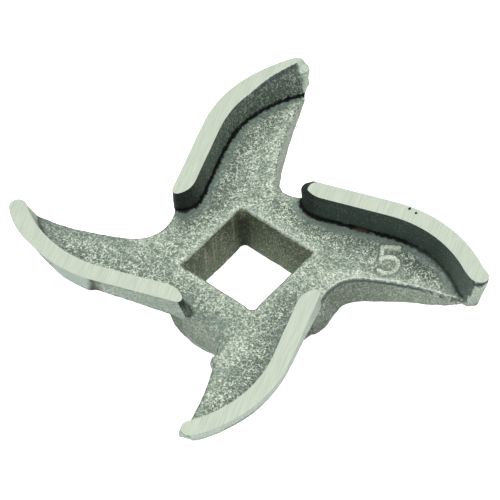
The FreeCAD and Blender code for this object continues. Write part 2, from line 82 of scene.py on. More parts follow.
# Tables of run along the leading edge and a length there: the width that is ground on the top arm,
# how far below the strip the leading wall ends, and how much higher it ends on two arms.
STRIP_TAPER = ((14.5, 1.95), (16.5, 1.65), (18.5, 1.28), (20.5, 1.0), (21.8, 0.72), (22.6, 0.3),
               (22.9, -0.2))
WALL_DEPTH = ((0, 2.9), (6, 1.96), (8, 1.63), (10, 1.32), (12, 1.06), (14, 0.88), (18, 0.75),
              (21.5, 0.85))
WALL_LIFT = {
    BOTTOM: ((0, 0.7), (5, 0.75), (9, 0.5), (11, 0.25), (13, 0.0), (15, -0.3), (19, -0.35), (22, -0.2)),
    LEFT: ((0, 0.4), (1, 0.18), (6, -0.18), (8.8, -0.33), (9.3, -0.6), (12.3, -0.55), (14, 0.1), (17, 0.3),
           (22, 0.25)),
}

# How far smoothing may move a cast edge, the low part of a tip and the whole end of an arm.
EDGE_ROUNDING, TIP_ROUNDING, END_ROUNDING = 0.16, 0.45, 0.3

# How the casting departs from the model: the skin's unevenness, the left arm's wall set back, the
# top arm's tip further in, the right arm's flank deeper, each arm's end drawn up per millimetre
# below the strip, and the hub's flank fuller about a bearing in degrees in the top arm's frame.
COARSE_LIFT, FINE_LIFT = 0.035, 0.02
SET_BACK, TIP_INWARD, FLANK_DEEPER = 0.28, 0.28, 0.48
END_LIFT = (0.25, 0.32, 0.3, 0.1)
HUB_FULLER, HUB_FULLER_BEARING = 0.25, -45

# Small marks, in the arms' own frames: pits in the right arm's strip, then one mark each.
PITS = (((-2.58, 16.55), 0.17), ((-1.95, 17.15), 0.14))
PITS_MIDDLE, PITS_REACH, PIT_DEPTH = (-2.3, 16.8), 0.7, 0.12
FLASH_PLACE = (4.1, 12.3)
RING_PLACE, RING_RADIUS = (2.13, 16.36), 0.4
CREASE_PATH = np.array([(4.67, 6.82), (3.9, 6.62), (3.34, 6.31)])
SMALL_PIT_PLACE = (2.42, 6.04)
RUST_PLACE = (-2.64, 11.7)
PINHOLES = 90

# Upright scratches on one wall of the hole: place along it, half width, lowest and highest point.
SCRATCHES = ((-2.9, 0.14, 1.5, 4.8), (-1.2, 0.16, 2.0, 5.6), (0.1, 0.18, 1.6, 5.9), (0.55, 0.13, 3.0, 5.9),
             (1.3, 0.13, 2.4, 5.2), (3.2, 0.18, 2.6, 6.1))


# Plan geometry.

def ahead(angle):
    """A unit vector in plan at an angle in degrees."""
    return np.array([math.cos(math.radians(angle)), math.sin(math.radians(angle))])


ALONG, INWARD = ahead(HEADING), ahead(HEADING - 90)
BEND_START = NOSE + ALONG * STRAIGHT_RUN
BEND_CENTRE = BEND_START + INWARD * BEND_RADIUS


def turned(points, angle):
    """Plan points turned about the axis by an angle in degrees."""
    c, s = math.cos(math.radians(angle)), math.sin(math.radians(angle))
    return points @ np.array([[c, s], [-s, c]])


def step(low, high, value):
    """A smooth step from 0 at low to 1 at high."""
    t = np.clip((value - low) / (high - low), 0, 1)
    return t * t * (3 - 2 * t)


def at_run(table, run):
    """A table's length at each run."""
    return np.interp(run, *zip(*table))


def from_place(plan, place):
    """Distance of plan points from one place."""
    return np.hypot(*(plan - place).T)


def to_own(plan, number):
    """Plan points, or directions, from the CAD's frame into an arm's own frame."""
    return turned(plan, 90 * number - ARM_TURN)


def from_own(own, number):
    """Plan points, or directions, from an arm's own frame into the CAD's."""
    return turned(own, ARM_TURN - 90 * number)


def lead_place(own):
    """Run along the leading edge and inset from it, for points in an arm's own frame."""
    from_nose = own - NOSE
    run, inset = from_nose @ ALONG, from_nose @ INWARD
    spoke = own - BEND_CENTRE
    sweep = math.radians(HEADING + 90) - np.arctan2(spoke[:, 1], spoke[:, 0])
    sweep = (sweep + math.pi) % (2 * math.pi) - math.pi
    bent = run > STRAIGHT_RUN
    run = np.where(bent, STRAIGHT_RUN + sweep * BEND_RADIUS, run)
    return run, np.where(bent, BEND_RADIUS - np.hypot(*spoke.T), inset)


def arm_place(plan):
    """For each plan point: its arm, its place in that arm's own frame, and its run and inset."""
    best = np.full(len(plan), 1e9)
    arm, own = np.zeros(len(plan), int), np.zeros((len(plan), 2))
    run, inset = np.zeros(len(plan)), np.zeros(len(plan))
    for number in range(4):
        local = to_own(plan, number)
        here_run, here_inset = lead_place(local)
        past_ends = np.clip(-here_run, 0, None) + np.clip(here_run - TIP_RUN, 0, None)
        gap = np.hypot(here_inset - BLADE_MIDDLE, past_ends)
        closer = gap < best
        best[closer], arm[closer], own[closer] = gap[closer], number, local[closer]
        run[closer], inset[closer] = here_run[closer], here_inset[closer]
    return arm, own, run, inset


def inward_of(own, run):
    """Unit vectors from the leading edge into the arm, in its own frame."""
    way = np.where((run < STRAIGHT_RUN)[:, None], INWARD, BEND_CENTRE - own)
    return way / np.linalg.norm(way, axis=1)[:, None]


# Dense mesh.

def weld(mesh):
    """Vertices in millimetres and triangles of a mesh, with equal places made one vertex."""
    mesh.calc_loop_triangles()
    places = np.zeros(len(mesh.vertices) * 3)
    mesh.vertices.foreach_get("co", places)
    corners = np.zeros(len(mesh.loop_triangles) * 3, int)
    mesh.loop_triangles.foreach_get("vertices", corners)
    places = places.reshape(-1, 3) / MM
    _, first, same = np.unique(np.round(places / WELD_GRID).astype(int), axis=0,
                               return_index=True, return_inverse=True)
    faces = same.reshape(-1)[corners.reshape(-1, 3)]
    a, b, c = faces.T
    return places[first], faces[(a != b) & (b != c) & (a != c)]


def edges_of(faces):
    """Sorted vertex pairs of every edge, and each face's three edge numbers."""
    pairs = np.sort(np.stack([faces[:, [0, 1]], faces[:, [1, 2]], faces[:, [2, 0]]], 1), axis=2)
    edges, number = np.unique(pairs.reshape(-1, 2), axis=0, return_inverse=True)
    return edges, number.reshape(-1, 3)


def refine(points, faces, longest, passes=40):
    """Split the edges that are longer than longest(middles) allows, and with them each face's longest."""
    for _ in range(passes):
        edges, of_face = edges_of(faces)
        ends = points[edges]
        length = np.linalg.norm(ends[:, 0] - ends[:, 1], axis=1)
        split = length > longest(ends.mean(1))
        if not split.any():
            break
        turn = length[of_face].argmax(1)
        main = of_face[np.arange(len(faces)), turn]
        while True:
            needed = split[of_face].any(1) & ~split[main]
            if not needed.any():
                break
            split[main[needed]] = True
        middle = np.full(len(edges), -1)
        middle[split] = len(points) + np.arange(split.sum())
        points = np.concatenate([points, ends[split].mean(1)])
        # Turn each face so that its longest edge comes first, then cut it from that edge's middle.
        order = (turn[:, None] + np.arange(3)) % 3
        rows = np.arange(len(faces))[:, None]
        face, cut = faces[rows, order], middle[of_face[rows, order]]
        is_cut = cut >= 0
        new = [faces[~is_cut[:, 0]]]
        for second in (False, True):
            for third in (False, True):
                pick = is_cut[:, 0] & (is_cut[:, 1] == second) & (is_cut[:, 2] == third)
                (a, b, c), (ab, bc, ca) = face[pick].T, cut[pick].T
                beyond = [(ab, b, bc), (ab, bc, c)] if second else [(ab, b, c)]
                before = [(a, ab, ca), (ab, c, ca)] if third else [(a, ab, c)]
                new += [np.stack(corners, 1) for corners in beyond + before]
        faces = np.concatenate(new)
    return points, faces


def face_normals(points, faces):
    """Unit normals of the faces, and twice their areas."""
    a, b, c = (points[corner] for corner in faces.T)
    cross = np.cross(b - a, c - a)
    area = np.linalg.norm(cross, axis=1)
    return cross / np.maximum(area, 1e-12)[:, None], area


def vertex_normals(points, faces):
    """Area-weighted unit normals of the vertices."""
    normal, area = face_normals(points, faces)
    total = np.zeros_like(points)
    for corner in range(3):
        np.add.at(total, faces[:, corner], normal * area[:, None])
    return total / np.maximum(np.linalg.norm(total, axis=1), 1e-12)[:, None]


def touched(count, faces, chosen):
    """1.0 at each vertex that any chosen face uses, else 0.0."""
    mark = np.zeros(count)
    mark[faces[chosen].ravel()] = 1
    return mark


def distance_to(points, targets):
    """Distance from every point to the nearest target."""
    tree = kdtree.KDTree(len(targets))
    for number, target in enumerate(targets):
        tree.insert(target, number)
    tree.balance()
    return np.array([tree.find(point)[2] for point in points])


def smooth(points, faces, free, limit, rounds=10):
    """Even out the free vertices among their neighbours, none moved further than the limit."""
    edges, _ = edges_of(faces)
    degree = np.bincount(edges.ravel(), minlength=len(points))[:, None]
    moved = points.copy()
    for _ in range(rounds):
        total = np.zeros_like(points)
        np.add.at(total, edges[:, 0], moved[edges[:, 1]])
        np.add.at(total, edges[:, 1], moved[edges[:, 0]])
        moved += (total / degree - moved) * 0.5 * free[:, None]
        way = moved - points
        length = np.linalg.norm(way, axis=1)
        moved = points + way * np.minimum(1, limit / np.maximum(length, 1e-9))[:, None]
    return moved


def grain(points, size, seed, octaves=2):
    """Smooth noise of about the given size in millimetres, from -1 to 1."""
    shift = Vector((seed * 17.3, seed * 5.1, seed * 9.7))
    return np.array([noise.fractal(Vector(point) / size + shift, 0.8, 2.0, octaves) for point in points])


# The digit on the right arm, as a plain stroke in the arm's own frame: width and height of the
# digit, half width of the stroke, rise above the web, and how far each unit of height leans over.
DIGIT_CENTRE = np.array([1.55, 14.1])
DIGIT_UP = ahead(180.0)
DIGIT_RIGHT = ahead(90.0)
DIGIT_WIDTH, DIGIT_HEIGHT, DIGIT_STROKE, DIGIT_RISE, DIGIT_LEAN = 2.1, 3.35, 0.27, 0.2, 0.12
DIGIT_WINDOW = 2.1
BOWL_ANGLES = range(115, -150, -12)


def digit_path():
    """The stroke of a 5: a top bar, a short stem and a bowl."""
    bar = [(0.5, 0.42), (-0.28, 0.5)]
    stem = [(-0.38, 0.02)]
    turns = [math.radians(angle) for angle in BOWL_ANGLES]
    bowl = [(-0.05 + 0.5 * math.cos(turn), -0.2 + 0.3 * math.sin(turn)) for turn in turns]
    return np.array([DIGIT_CENTRE + DIGIT_RIGHT * (x + DIGIT_LEAN * y) * DIGIT_WIDTH
                     + DIGIT_UP * y * DIGIT_HEIGHT for x, y in bar + stem + bowl])


def stroke_distance(own, path):
    """Distance from plan points to a path of straight pieces."""
    best = np.full(len(own), 1e9)
    for a, b in zip(path[:-1], path[1:]):
        way = b - a
        t = np.clip((own - a) @ way / (way @ way), 0, 1)
        best = np.minimum(best, np.hypot(*(own - a - t[:, None] * way).T))
    return best


def finest(middles):
    """The longest edge allowed at a place: finest at the marks, coarser beneath."""
    height = middles[:, 2]
    number, local, along, across = arm_place(middles[:, :2])
    on_top, on_right = height > LAND_TOP - NEAR, number == RIGHT
    below_web = height < WEB_TOP - NEAR / 2
    levels = [on_top, height > WEB_TOP + 0.5, height > WEB_TOP - NEAR / 2, height > FLANK_LOW]
    allowed = np.select(levels, [LAND_EDGE, WALL_EDGE, WEB_EDGE, FLANK_EDGE], BENEATH_EDGE)
    at_foot = (np.abs(height - WEB_TOP) < 0.5) & (across > 1.8) & (across < 3.2) & (along > -1)
    at_ridge = (height > 5.95) & below_web
    at_scratches = (np.abs(middles[:, 0] + HOLE_HALF) < NEAR) & (np.abs(middles[:, 1]) < HOLE_HALF)
    allowed[at_foot | at_ridge | at_scratches] = LINE_EDGE
    at_tip = on_top & (number == TOP) & (along > 14)
    at_nose = on_top & on_right & (along < 1.2)
    at_flank = on_right & (along > 16) & (across > 1.8) & (height > 5.0) & below_web
    at_digit = np.abs(local - DIGIT_CENTRE).max(1) < DIGIT_WINDOW
    at_digit &= on_right & (np.abs(height - WEB_TOP) < 0.1)
    allowed[at_tip | at_nose | at_flank | at_digit] = DETAIL_EDGE
    allowed[on_top & on_right & (from_place(local, PITS_MIDDLE) < PITS_REACH)] = PIT_EDGE
    return allowed


points, faces = refine(*weld(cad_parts["knife"].data), finest)
count = len(points)
arm, own, run, inset = arm_place(points[:, :2])
is_top, is_right, is_bottom, is_left = (arm == number for number in range(4))
reach, z = own[:, 1], points[:, 2]

# Faces by kind, from the plain model.
normal, _ = face_normals(points, faces)
centre = points[faces].mean(1)
face_arm, face_own, face_run, face_inset = arm_place(centre[:, :2])
height = centre[:, 2]
steep = normal[:, 2] < 0.8
at_land = (height > LAND_TOP - NEAR) & (normal[:, 2] > 0.9)
past_taper = (face_arm == TOP) & (face_inset > at_run(STRIP_TAPER, face_run))
nose_end = (face_arm == RIGHT) & (face_run < 0.9) & (np.hypot(face_run - 0.9, face_inset - 0.93) > 0.95)
unground = at_land & (past_taper | nose_end)
land_face = at_land & ~unground
outer_face = steep & (face_inset < 0.06) & (face_run > -0.7) & (height > 5.6)
wall_face = (steep & (height > WEB_TOP + NEAR / 2) & ~outer_face & ~land_face) | unground
web_face = (normal[:, 2] > 0.95) & (np.abs(height - WEB_TOP) < NEAR)
hole_face = steep & (np.abs(centre[:, :2]).max(1) < HOLE_HALF + NEAR)
side_face = steep & ~wall_face & ~outer_face & ~hole_face & (normal[:, 2] > -0.5)
under_face = normal[:, 2] <= -0.5

# A wall that doesn't face into its arm, near the end of the run, belongs to the tip.
face_inward = inward_of(face_own, face_run)
facing = np.zeros(len(faces))
for number in range(4):
    mine = face_arm == number
    facing[mine] = (to_own(normal[mine, :2], number) * face_inward[mine]).sum(1)
facing /= np.maximum(np.hypot(*normal[:, :2].T), 1e-6)
tip_face = wall_face & (facing < 0.8) & (face_run > 19) & ~unground
inner_face = wall_face & ~tip_face

kinds = (web_face, tip_face, land_face, inner_face, outer_face, side_face, hole_face, under_face)
on_web, on_tip, on_land, on_inner, on_outer, on_side, on_hole, on_under = (
    touched(count, faces, kind) for kind in kinds)

# Lines between kinds, and distances from them.
foot_line = (on_web > 0) & (on_inner > 0)
rim_line = (on_web > 0) & (touched(count, faces, ~web_face & ~inner_face) > 0) & ~foot_line
hole_line = rim_line & (np.abs(points[:, :2]).max(1) < HOLE_HALF + 0.5)
ridge_line = rim_line & ~hole_line
foot_gap = distance_to(points, points[foot_line])
hole_gap = distance_to(points, points[hole_line])
land_gap = distance_to(points, points[on_land > 0])
flat = points * (1, 1, 0)
end_gap = distance_to(flat, flat[(on_tip > 0) & (run > 22.4) & (inset < 3)])

# Shape: cast edges lose their sharpness, while the ground strips keep theirs.
free = np.where(on_land > 0, 0.0, 1.0) * step(LAND_TOP, LAND_TOP - 0.25, z)
free *= np.where((on_outer > 0) & (on_under > 0), 0.1, 1.0)
low_tip = step(21.3, 22.3, run) * step(LAND_TOP - 0.3, LAND_TOP - 1.0, z)
shaped = smooth(points, faces, free, EDGE_ROUNDING)
shaped = smooth(shaped, faces, free * low_tip, TIP_ROUNDING, 30)
outward = vertex_normals(shaped, faces)

# Where a strip ends early its wall slopes off from the strip's edge.
open_edge = touched(count, faces, unground) * (z > LAND_TOP - NEAR)
shaped[:, 2] -= open_edge * np.minimum(0.8 * land_gap, 0.55)

# The cast skin isn't even.
coarse, fine = grain(points, 2.2, 1), grain(points, 0.6, 2)
lift = COARSE_LIFT * coarse + FINE_LIFT * fine
lift *= (1 - on_land) * (1 - open_edge) * step(LAND_TOP, LAND_TOP - 0.3, z)
shaped += outward * lift[:, None]

# The digit stands on the right arm's web.
stroke = stroke_distance(own, digit_path())
digit = step(DIGIT_STROKE + 0.14, DIGIT_STROKE - 0.1, stroke) * is_right * (on_web > 0)
shaped[:, 2] += digit * DIGIT_RISE

# The leading walls of two arms end higher or lower than the model's.
depth = np.clip((LAND_TOP - z) / at_run(WALL_DEPTH, run), 0, 1)
near_edge = step(2.6 + 1.6 * step(11, 8, run), 0.3, inset)
near_edge *= (on_outer > 0) | (on_under > 0) | (on_side > 0)
for number, table in WALL_LIFT.items():
    shaped[:, 2] += (arm == number) * (run > -1) * at_run(table, run) * depth * near_edge

# The wall of the left arm is set back under its strip, but for the lug.
row_inward = inward_of(own, run)
for number in range(4):
    row_inward[arm == number] = from_own(row_inward[arm == number], number)
off_lug = 1 - step(9.0, 9.4, run) * step(18.0, 13.4, run)
set_back = SET_BACK * is_left * off_lug * step(0.3, 1.5, run) * step(19, 15, run)
set_back *= step(LAND_TOP - 0.05, LAND_TOP - 0.3, z)
set_back *= np.maximum(on_outer > 0, (on_under > 0) * step(1.4, 0.4, inset))
shaped[:, :2] += row_inward * set_back[:, None]

# The top arm's tip lies a little further in.
tip_inward = TIP_INWARD * is_top * step(12, 20, run) * step(4.5, 2.5, inset)
shaped[:, :2] += row_inward * tip_inward[:, None]

# The right arm's trailing flank is deeper near its tip, and each arm's end is drawn up.
flank = is_right * (z < WEB_TOP - 0.05) * step(1.2, 2.3, inset)
shaped[:, 2] -= FLANK_DEEPER * flank * step(15, 21, run) * step(23.2, 22.0, run)
drawn_up = np.choose(arm, END_LIFT) * step(21.3, 23.0, run) * (LAND_TOP - z) * step(0.0, 1.2, LAND_TOP - z)
shaped[:, 2] += drawn_up * np.maximum(step(2.6, 1.4, inset), 0.8 * step(22.3, 23.1, run) * ~is_right)


def shift_own(number, way, amount):
    """Move one arm's vertices in plan by amounts, along a direction of its own frame."""
    shaped[:, :2] += from_own(way[None, :], number) * (amount * (arm == number))[:, None]


# Noses: the right arm's is longer, and the left arm's spreads towards the hub.
near_nose = step(4.5, 0.0, run) * step(4.2, 2.4, inset) * step(-1.5, -0.3, inset) * step(5.2, 6.2, z)
below_land = np.clip((LAND_TOP - z) / (LAND_TOP - WEB_TOP), 0, 1)
shift_own(RIGHT, -ALONG, 0.85 * near_nose * (0.45 + 0.55 * step(LAND_TOP, 8.2, z)))
shift_own(LEFT, -ALONG, 0.75 * near_nose * below_land)

# Tips: each ends a little differently, then all are evened out.
own_x, own_y = ahead(0.0), ahead(90.0)
shift_own(RIGHT, own_y, 0.4 * step(20.5, 23.0, run) * step(6.0, 3.0, inset))
shift_own(RIGHT, own_y, 0.3 * step(22.0, 23.0, run) * step(8.7, 7.7, z))
shift_own(TOP, own_x, 0.35 * step(21.5, 23.0, run) * step(7.6, 8.4, z) * step(0.4, 1.4, inset))
shift_own(TOP, -own_x, 0.3 * step(21.5, 23.0, run) * step(7.8, 7.0, z))
shift_own(LEFT, INWARD, 0.15 * step(20.5, 22.5, run))
shift_own(BOTTOM, own_x, 0.32 * step(20.5, 22.8, run) * step(6.0, 3.0, inset) * step(6.6, 7.6, z))
shaped = smooth(shaped, faces, free * step(21.2, 22.0, run), END_ROUNDING, 14)

# A speck of flash on the bottom arm's trailing edge.
shift_own(BOTTOM, own_x, 0.35 * step(0.9, 0.3, from_place(own, FLASH_PLACE)) * step(5.0, 5.8, z))

# The hub's flank between the right and bottom arms is fuller.
from_axis = np.hypot(*points[:, :2].T)
spoke = points[:, :2] / np.maximum(from_axis, 1)[:, None]
seen = to_own(spoke, TOP)
bearing = np.degrees(np.arctan2(seen[:, 1], seen[:, 0]))
fuller = step(35, 5, np.abs(bearing - HUB_FULLER_BEARING)) * step(5.5, 7.0, from_axis)
fuller *= step(6.0, 4.5, z) * step(0.0, 1.0, z)
shaped[:, :2] += spoke * (HUB_FULLER * fuller)[:, None]

# Pits in the right arm's strip.
in_pit = np.zeros(count)
for place, radius in PITS:
    from_pit = from_place(own, place)
    shaped[:, 2] -= PIT_DEPTH * is_right * step(radius, 0, from_pit) * on_land
    in_pit = np.maximum(in_pit, is_right * step(radius, radius * 0.7, from_pit))

# Nothing passes the CAD's box.
low, high = (np.array(corner) / MM for corner in CAD_BOX)
shaped = np.clip(shaped, low, high)
ridge_gap = distance_to(shaped, shaped[ridge_line])


# Colour: a mean tone, and how strongly the grain shows.
def linear(*levels):
    """Linear colour from display levels out of 255."""
    return np.array([((v / 255 + 0.055) / 1.055) ** 2.4 if v > 10.3 else v / 255 / 12.92 for v in levels])


# The cast skin in general, its painted shade, highlights and dark reflection, and its lines.
UNDER, WEB = linear(95, 104, 96), linear(141, 156, 141)
SHADED, WEB_DEEPER_SHADE = linear(112, 126, 113), linear(96, 109, 99)
BAND, RIM_HIGHLIGHT, EDGE_HIGHLIGHT = linear(112, 128, 118), linear(182, 193, 176), linear(195, 204, 200)
SHADE_AND_PIT_DARK, FOOT_SHADE, DARK_RIDGE_REFLECTION = linear(16, 20, 18), linear(8, 10, 9), linear(82, 92, 94)

# Walls, noses and tips, with painted shade under two strips' ends and in the lug's notch.
OUTER, OUTER_BOTTOM, OUTER_LEFT = linear(152, 166, 154), linear(190, 202, 191), linear(178, 192, 180)
INNER, INNER_TOP, INNER_TOP_END = linear(70, 83, 78), linear(93, 107, 96), linear(66, 75, 76)
INNER_RIGHT_END = linear(100, 116, 106)
INNER_LEFT_NOSE, INNER_LEFT_END = linear(120, 130, 118), linear(150, 162, 148)
SIDE, SIDE_RIGHT = linear(150, 163, 148), linear(104, 114, 102)
LIP, RIGHT_TIP_SHADE, BOTTOM_TIP_SHADE = linear(176, 190, 176), linear(62, 70, 73), linear(72, 80, 84)
LUG, NOTCH_SHADE = linear(176, 190, 180), linear(62, 64, 50)

# Marks, the digit and the hole.
MARK, RUST, PINHOLE = linear(52, 60, 54), linear(88, 76, 58), linear(58, 64, 56)
DIGIT, DIGIT_SHADE = linear(178, 188, 171), linear(112, 126, 114)
HOLE, HOLE_LOW, SCRATCH = linear(107, 118, 96), linear(144, 154, 131), linear(178, 180, 152)

patchy = grain(points, 1.6, 3)
jagged = grain(points, 0.35, 4)


class Paint:
    """A tone and a strength of grain for each vertex, built up in layers."""

    def __init__(self, colour, strength):
        self.tone = np.tile(colour, (count, 1))
        self.grain = np.full(count, strength)

    def lay(self, mask, colour, strength=None):
        """Lay a colour, and if given a strength of grain, where the mask is."""
        self.tone = self.tone + (colour - self.tone) * mask[:, None]
        if strength is not None:
            self.grain = self.grain + (strength - self.grain) * mask


paint = Paint(UNDER, 0.5)
lay = paint.lay

# Web: light at the hub, with painted shade near the walls and towards two of the tips.
lay(on_side, SIDE, 0.55)
lay(on_web, WEB, 0.9)
lay(on_web * step(4.2, 1.0, foot_gap) * np.choose(arm, [1.0, 1.0, 0.9, 0.45]), SHADED)
lay(on_web * is_top * step(15, 22, reach) * 0.75, SHADED)
lay(on_web * is_right * step(4.6, 1.8, foot_gap) * step(4, 12, run) * 0.9, WEB_DEEPER_SHADE, 0.7)
lay(on_web * is_left * step(15, 20, reach) * 0.35, SHADED)
band = step(1.5, 0.6, foot_gap + 0.35 * patchy) * on_web * np.choose(arm, [1.0, 1.0, 0.6, 0.6])
lay(band, BAND, 0.2)

# Web along its rims: quiet on two arms, else a painted highlight with more bright specks.
near_ridge = ridge_gap + 0.5 * patchy
quiet = step(1.7, 0.5, near_ridge + 0.9 * is_bottom) * on_web * (is_bottom | is_left)
lay(quiet * 0.7, BAND, 0.35)
bright = np.maximum(step(1.5, 0.1, near_ridge) * (1 - quiet), step(1.6, 0.1, hole_gap + 0.4 * patchy))
lay(bright * on_web * (1 - band) * 0.5, RIM_HIGHLIGHT, 1.0)
lay(is_bottom * on_web * step(3.5, 1.0, ridge_gap) * step(14, 11, reach) * 0.45, RIM_HIGHLIGHT)

# Painted highlights on the right arm's ridge and on one rim of the hole.
of_right = to_own(points[:, :2], RIGHT)
right_reach = of_right[:, 1]
right_side = (is_right | is_bottom) * (of_right[:, 0] > 1.2) * step(2.5, 5.0, right_reach)
ridge_highlight = step(0.16, 0.05, ridge_gap) * right_side * step(6.0, 9.0, right_reach) * 0.8
hole_rim_highlight = step(0.16, 0.05, hole_gap) * (points[:, 1] > HOLE_HALF - 0.1) * 0.6
lay(np.maximum(ridge_highlight, hole_rim_highlight) * on_web, EDGE_HIGHLIGHT, 0.3)

# Leading walls and tips.
lay(on_outer, OUTER, 0.45)
lay(on_outer * is_bottom, OUTER_BOTTOM, 0.25)
lay(on_outer * is_left * 0.5, OUTER_LEFT, 0.6)
# Painted reflection: the lower edges of the leading walls, and the left arm's underside along its edge,
# made light.
lay(on_outer * (on_under > 0), EDGE_HIGHLIGHT)
lay(is_left * (on_under > 0) * step(0.9, 0.5, inset) * (on_outer == 0), EDGE_HIGHLIGHT)
lay(on_tip, LIP, 0.4)

# Inner walls, a dark line of painted shade at their feet, and their noses.
lay(on_inner, INNER, 0.1)
lay(is_top * on_inner * step(0, 8, run), INNER_TOP, 0.5)
lay(is_top * on_inner * step(0.5, 0.2, land_gap) * step(14, 17, run) * 0.9, INNER_TOP_END, 0.1)
rim_width = 0.28 + 0.3 * step(8.0, 9.0, z)
lay(is_top * on_inner * step(0.12, -0.12, end_gap + 0.1 * patchy - rim_width), LIP, 0.45)
lay(is_left * on_inner * step(2.0, 1.0, run) * step(8.3, 7.3, z), INNER_LEFT_NOSE, 0.5)
lay(is_left * on_inner * step(16, 20, run), INNER_LEFT_END, 0.4)
lay(is_right * on_inner * step(15, 20, run) * 0.7, INNER_RIGHT_END, 0.15)
foot_shade = step(0.42, 0.16, foot_gap + 0.16 * jagged) * np.clip(on_web + on_inner, 0, 1) * (1 - on_tip)
foot_shade *= np.choose(arm, [1.0, 1.0, 1.0, 0.6]) * (1 - 0.35 * step(10, 15, run) * is_right)
lay(foot_shade, FOOT_SHADE, 0.0)
# Painted shade on the noses' inner walls, but not on the left arm's.
lay(step(2.5, 0.5, run) * on_inner * ~is_left * 0.5, SHADE_AND_PIT_DARK)

# The right arm's trailing flank, with a bluish line of painted dark reflection under its ridge.
right_flank = on_side * (1 - on_web) * right_side
ridge_shade = step(0.1, 0.18, ridge_gap) * step(0.5, 0.3, ridge_gap)
lay(right_flank * ridge_shade * step(4.0, 6.5, right_reach), DARK_RIDGE_REFLECTION, 0.0)
lay(right_flank * step(17, 9, right_reach) * 0.6, SIDE_RIGHT)

# Shade under the strips at two tips.
under_end = (1 - on_land) * (on_tip > 0) * step(22.0, 22.4, run)
lay(under_end * is_right * step(0.8, 0.5, land_gap) * step(3.0, 1.9, inset), RIGHT_TIP_SHADE, 0.1)
lay(under_end * is_bottom * step(0.45, 0.25, land_gap), BOTTOM_TIP_SHADE, 0.1)

# Small marks: a ring, a crease and a pit on the left arm, a little rust, and scattered pinholes.
ring = step(0.2, 0.05, np.abs(from_place(own, RING_PLACE) - RING_RADIUS)) * 0.6
crease = step(0.22, 0.08, stroke_distance(own, CREASE_PATH))
small_pit = step(0.28, 0.1, from_place(own, SMALL_PIT_PLACE))
lay(np.maximum(ring, np.maximum(crease, small_pit)) * is_left * on_web * 0.8, MARK, 0.2)
rusty = step(0.9, 0.3, from_place(own, RUST_PLACE) + 0.2 * jagged) * is_right * (z < WEB_TOP + 0.6)
lay(rusty * 0.3, RUST)
rng = np.random.default_rng(5)
pinholes = np.column_stack([rng.uniform(-20, 20, (PINHOLES, 2)), np.full(PINHOLES, WEB_TOP)])
lay(step(0.24, 0.08, distance_to(points, pinholes)) * on_web * 0.6, PINHOLE, 0.2)

# Drive hole: olive walls, lighter downwards, with painted shade in one corner and a few upright scratches.
lay(on_hole, HOLE, 0.5)
lay(on_hole * step(4.5, 0.5, z) * 0.75, HOLE_LOW, 0.5)
from_corner = from_place(points[:, :2], (-HOLE_HALF, HOLE_HALF))
lay(step(1.1, 0.1, from_corner) * on_hole * step(6.4, 4.0, z) * 0.85, SHADE_AND_PIT_DARK, 0.0)
scratched = on_hole * (points[:, 0] < 0.1 - HOLE_HALF)
for place, width, lowest, highest in SCRATCHES:
    scratch = step(width, width * 0.3, np.abs(points[:, 1] - place + 0.04 * patchy)) * scratched
    scratch *= step(lowest - 0.6, lowest + 0.3, z) * step(highest + 0.3, highest - 0.3, z)
    lay(scratch * 0.65, SCRATCH, 0.4)

# The digit with painted shade round it, then the left arm's lug, painted shade in its notch and under its
# strip, then the pits.
lay(step(0.75, 0.4, stroke) * is_right * on_web, DIGIT_SHADE, 0.3)
lay(digit, DIGIT, 0.8)
left_outer = is_left * on_outer
lay(left_outer * step(9.15, 9.4, run) * step(13.8, 13.2, run), LUG, 0.1)
lay(left_outer * step(7.9, 8.9, run) * step(9.35, 9.15, run) * 0.8, NOTCH_SHADE, 0.1)
under_strip = left_outer * step(0.5, 2, run) * step(9.3, 9.0, run)
lay(under_strip * step(LAND_TOP - 0.26, LAND_TOP - 0.14, z) * 0.6, SHADE_AND_PIT_DARK, 0.0)
lay(in_pit * on_land, SHADE_AND_PIT_DARK, 0.0)


def build_mesh(places, corners, slots):
    """A mesh in metres with the tone and the grain as attributes."""
    mesh = bpy.data.meshes.new("knife_casting")
    mesh.from_pydata((places * MM).tolist(), [], corners.tolist())
    mesh.polygons.foreach_set("material_index", slots.astype(np.int32))
    colours = mesh.attributes.new("tone", "FLOAT_COLOR", "POINT")
    colours.data.foreach_set("color", np.column_stack([paint.tone, np.ones(count)]).ravel())
    strengths = mesh.attributes.new("grain", "FLOAT", "POINT")
    strengths.data.foreach_set("value", paint.grain)
    mesh.update()
    return mesh


def add_object(name, data):
    """A new object in the scene."""
    thing = bpy.data.objects.new(name, data)
    bpy.context.scene.collection.objects.link(thing)
    return thing


